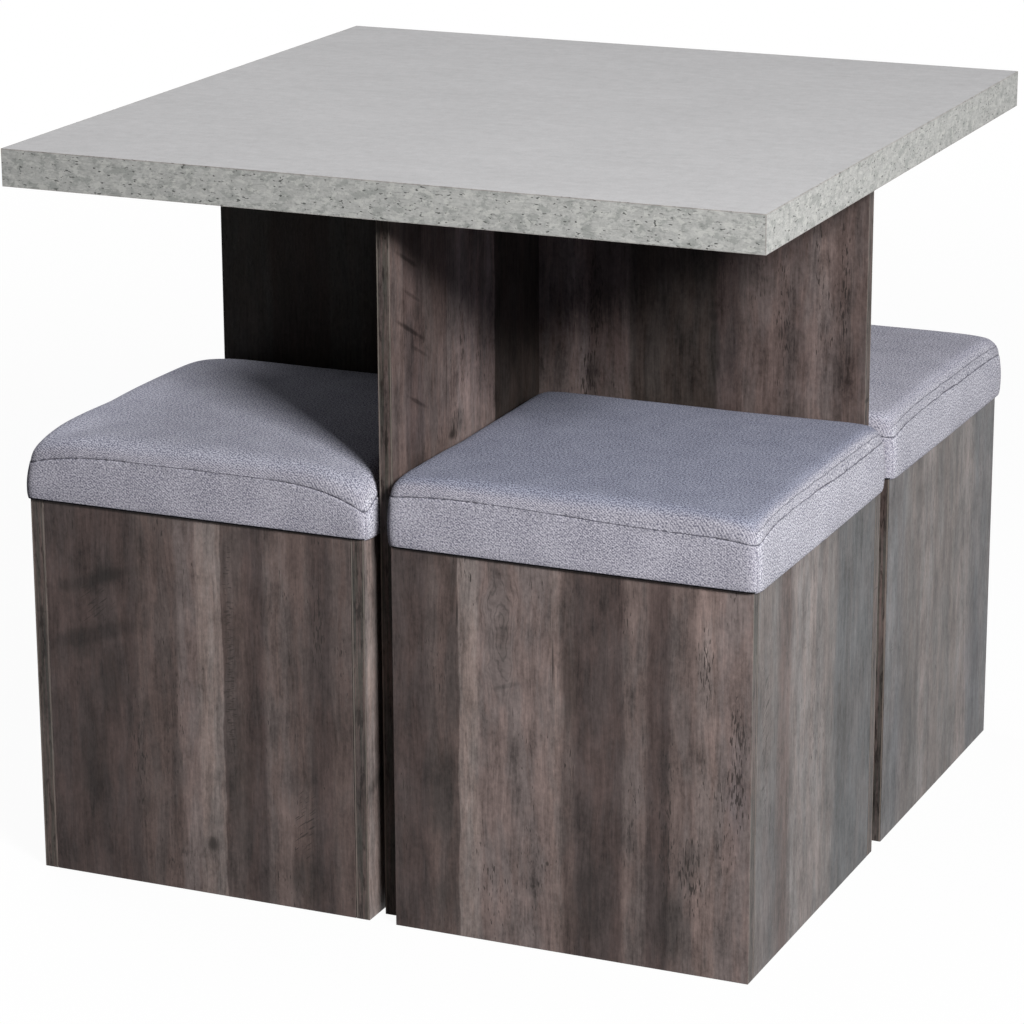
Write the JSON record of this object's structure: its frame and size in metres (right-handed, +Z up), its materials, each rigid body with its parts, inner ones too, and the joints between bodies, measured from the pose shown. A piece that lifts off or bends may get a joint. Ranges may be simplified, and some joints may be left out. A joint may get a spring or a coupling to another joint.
{
  "type": "dining table with stools",
  "caption": "Square dining table with a thick concrete-look top on a cross-shaped wood-look pedestal, and padded storage stools that park under the top in its quarters.",
  "frame": {"origin": "on the floor under the middle of the table top", "axes": "+Z up, -Y towards the front, where the front stool is drawn out; +X to the right"},
  "size_m": [0.8, 0.8, 0.76],
  "materials": {
    "concrete_top": "matt light grey concrete-print laminate on particle board",
    "concrete_edge": "concrete-print edge band with small dark pits",
    "grey_brown_wood": "weathered grey-brown wood-print laminate, vertical grain, soft satin",
    "zinc_steel": "bright zinc-plated",
    "zinc_cast": "zinc die-cast, dull",
    "beech": "plain unfinished beech",
    "ply_board": "plain unfinished plywood",
    "woven_fabric": "light blue-grey melange twill weave over foam"
  },
  "bodies": {
    "table": {"tabletop_board": "concrete_top", "tabletop_front_edge_band": "concrete_edge", "tabletop_back_edge_band": "concrete_edge", "tabletop_left_edge_band": "concrete_edge", "tabletop_right_edge_band": "concrete_edge", "pedestal_long_panel": "grey_brown_wood", "pedestal_front_panel": "grey_brown_wood", "pedestal_back_panel": "grey_brown_wood", "pedestal_front_lower_cam": "zinc_cast", "pedestal_front_upper_cam": "zinc_cast", "pedestal_back_lower_cam": "zinc_cast", "pedestal_back_upper_cam": "zinc_cast", "pedestal_lower_bolt": "zinc_steel", "pedestal_upper_bolt": "zinc_steel", "pedestal_lower_dowel": "beech", "pedestal_upper_dowel": "beech", "bracket_right_a": "zinc_steel", "bracket_right_b": "zinc_steel", "bracket_back_a": "zinc_steel", "bracket_back_b": "zinc_steel", "bracket_left_a": "zinc_steel", "bracket_left_b": "zinc_steel", "bracket_front_a": "zinc_steel", "bracket_front_b": "zinc_steel"},
    "front_stool": {"front_stool_front_panel": "grey_brown_wood", "front_stool_back_panel": "grey_brown_wood", "front_stool_left_panel": "grey_brown_wood", "front_stool_right_panel": "grey_brown_wood", "front_stool_base_panel": "grey_brown_wood"},
    "left_stool": {"left_stool_front_panel": "grey_brown_wood", "left_stool_back_panel": "grey_brown_wood", "left_stool_left_panel": "grey_brown_wood", "left_stool_right_panel": "grey_brown_wood", "left_stool_base_panel": "grey_brown_wood"},
    "back_stool": {"back_stool_front_panel": "grey_brown_wood", "back_stool_back_panel": "grey_brown_wood", "back_stool_left_panel": "grey_brown_wood", "back_stool_right_panel": "grey_brown_wood", "back_stool_base_panel": "grey_brown_wood"},
    "right_stool": {"right_stool_front_panel": "grey_brown_wood", "right_stool_back_panel": "grey_brown_wood", "right_stool_left_panel": "grey_brown_wood", "right_stool_right_panel": "grey_brown_wood", "right_stool_base_panel": "grey_brown_wood"},
    "front_lid": {"front_lid_board": "ply_board", "front_lid_cushion": "woven_fabric", "front_lid_back_batten": "beech", "front_lid_front_batten": "beech"},
    "left_lid": {"left_lid_board": "ply_board", "left_lid_cushion": "woven_fabric", "left_lid_back_batten": "beech", "left_lid_front_batten": "beech"},
    "back_lid": {"back_lid_board": "ply_board", "back_lid_cushion": "woven_fabric", "back_lid_back_batten": "beech", "back_lid_front_batten": "beech"},
    "right_lid": {"right_lid_board": "ply_board", "right_lid_cushion": "woven_fabric", "right_lid_back_batten": "beech", "right_lid_front_batten": "beech"}
  },
  "joints": [
    {"name": "front_stool_slide", "type": "slide", "parent": "table", "child": "front_stool", "axis": [0, -1, 0], "range_m": [0, 0.45]},
    {"name": "left_stool_slide", "type": "slide", "parent": "table", "child": "left_stool", "axis": [-1, 0, 0], "range_m": [0, 0.45]},
    {"name": "back_stool_slide", "type": "slide", "parent": "table", "child": "back_stool", "axis": [0, 1, 0], "range_m": [0, 0.45]},
    {"name": "right_stool_slide", "type": "slide", "parent": "table", "child": "right_stool", "axis": [1, 0, 0], "range_m": [0, 0.45]},
    {"name": "front_lid_lift", "type": "slide", "parent": "front_stool", "child": "front_lid", "axis": [0, 0, 1], "range_m": [0, 0.2]},
    {"name": "left_lid_lift", "type": "slide", "parent": "left_stool", "child": "left_lid", "axis": [0, 0, 1], "range_m": [0, 0.2]},
    {"name": "back_lid_lift", "type": "slide", "parent": "back_stool", "child": "back_lid", "axis": [0, 0, 1], "range_m": [0, 0.2]},
    {"name": "right_lid_lift", "type": "slide", "parent": "right_stool", "child": "right_lid", "axis": [0, 0, 1], "range_m": [0, 0.2]}
  ]
}
